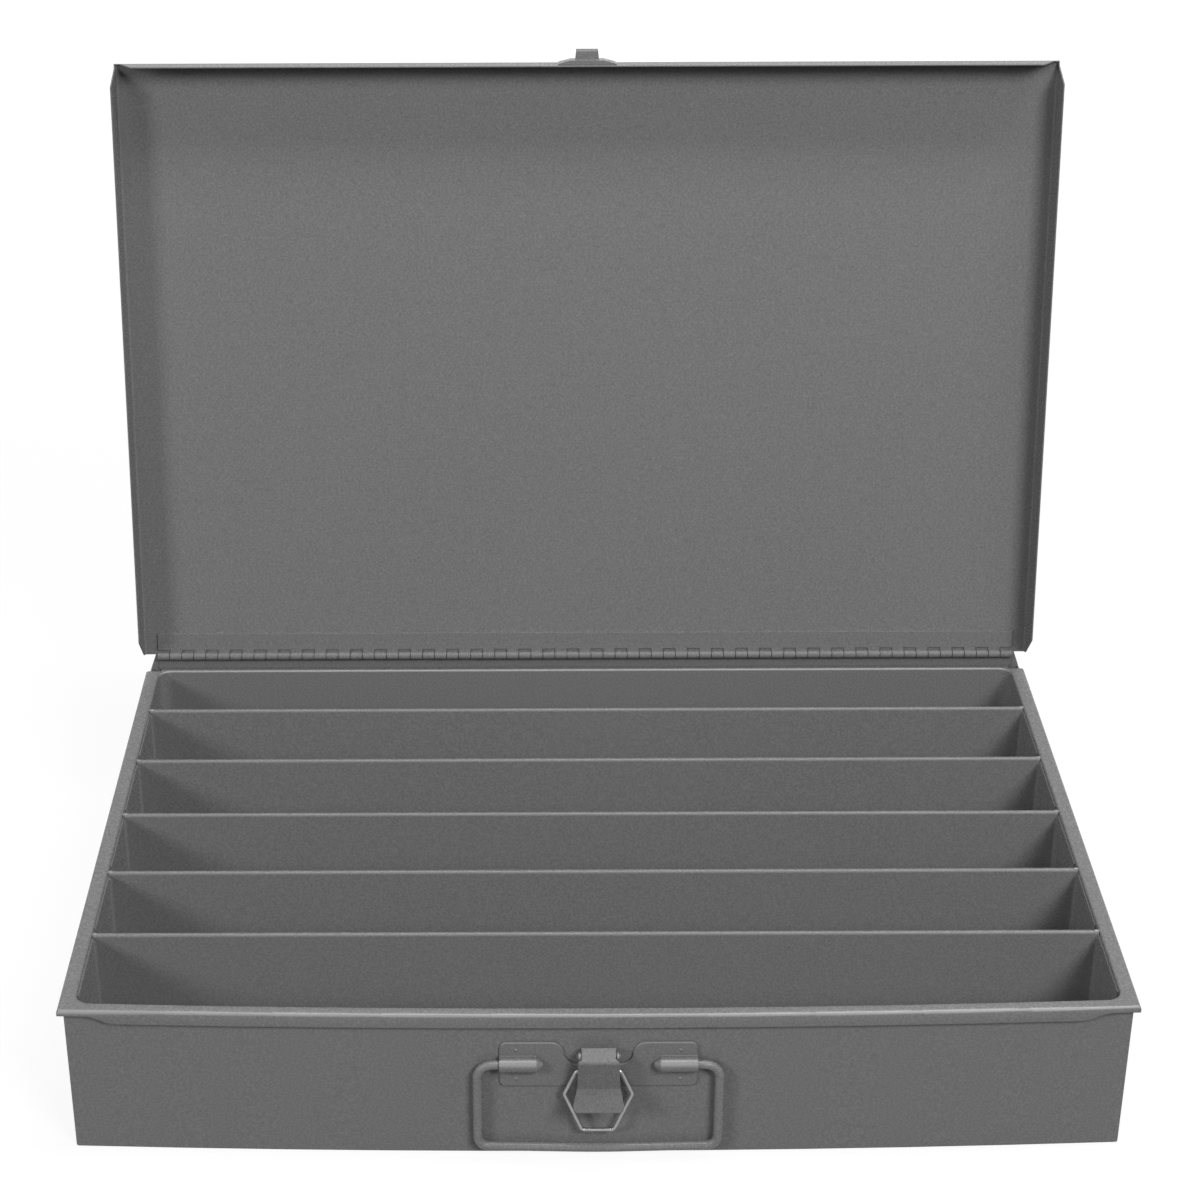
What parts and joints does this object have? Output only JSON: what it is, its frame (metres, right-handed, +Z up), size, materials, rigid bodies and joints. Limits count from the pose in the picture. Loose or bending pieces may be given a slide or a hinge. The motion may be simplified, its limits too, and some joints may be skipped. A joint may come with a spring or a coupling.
{
  "type": "steel compartment box",
  "caption": "Flat sheet-steel case with a piano-hinged lid, full-width divided compartments, a swinging rod handle and a lever latch with a wire bail",
  "frame": {"origin": "middle of the flat underside", "axes": "X runs across the front, Y from front to rear, Z up"},
  "size_m": [0.458, 0.3634, 0.3883],
  "materials": {
    "grey_paint": "satin",
    "bright_steel": "satin"
  },
  "bodies": {
    "base": {"outer_shell": "grey_paint", "tray_liner": "grey_paint", "divider_1": "grey_paint", "divider_2": "grey_paint", "divider_3": "grey_paint", "divider_4": "grey_paint", "divider_5": "grey_paint", "hinge_base_leaf": "grey_paint", "hinge_pin": "bright_steel", "latch_plate": "grey_paint", "latch_pin": "grey_paint"},
    "lid": {"lid_pan": "grey_paint", "hinge_lid_leaf": "grey_paint", "lid_catch": "grey_paint"},
    "handle": {"carry_handle": "grey_paint"},
    "lever": {"latch_lever": "grey_paint"},
    "bail": {"latch_bail": "bright_steel"}
  },
  "joints": [
    {"name": "lid_hinge", "type": "hinge", "parent": "base", "child": "lid", "pos_m": [0, 0.14698, 0.0816], "axis": [1, 0, 0], "range_deg": [0, 99.7]},
    {"name": "handle_swing", "type": "hinge", "parent": "base", "child": "handle", "pos_m": [0, -0.1523, 0.0488], "axis": [-1, 0, 0], "range_deg": [0, 155]},
    {"name": "lever_lift", "type": "hinge", "parent": "base", "child": "lever", "pos_m": [0, -0.1546, 0.05465], "axis": [-1, 0, 0], "range_deg": [0, 80]},
    {"name": "bail_swing", "type": "hinge", "parent": "lever", "child": "bail", "pos_m": [0, -0.1538, 0.04645], "axis": [-1, 0, 0], "range_deg": [0, 95]}
  ]
}
